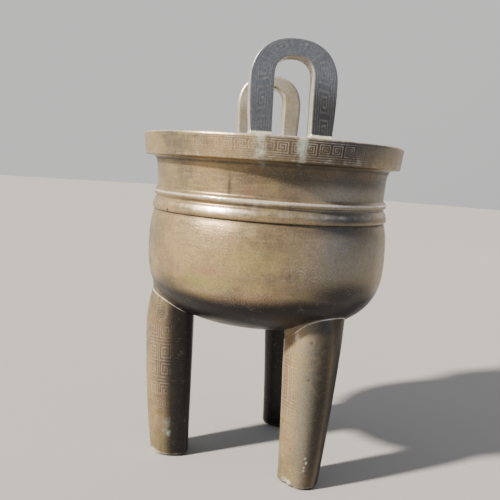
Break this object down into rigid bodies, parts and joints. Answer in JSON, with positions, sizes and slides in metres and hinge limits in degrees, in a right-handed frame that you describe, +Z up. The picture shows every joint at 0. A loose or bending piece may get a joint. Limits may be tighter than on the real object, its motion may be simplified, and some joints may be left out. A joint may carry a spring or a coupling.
{
  "type": "bronze ding vessel",
  "caption": "Round bronze tripod bowl with a broad flat rim, ringed neck, tapering rounded legs and upright loop handles on the rim.",
  "frame": {"origin": "on the ground, below the middle of the bowl", "axes": "+Z up; the handles stand on the X axis, two legs on the -Y side and one on the +Y side"},
  "size_m": [0.14, 0.14, 0.2196],
  "materials": {
    "bowl_bronze": "satin brown patina with worn wire inlay",
    "leg_bronze": "satin olive brown patina with worn wire inlay",
    "handle_bronze": "satin dark patina with worn wire inlay"
  },
  "bodies": {
    "root": {"bowl": "bowl_bronze", "leg_back": "leg_bronze", "leg_front_left": "leg_bronze", "leg_front_right": "leg_bronze", "handle_left": "handle_bronze", "handle_right": "handle_bronze"}
  },
  "joints": []
}
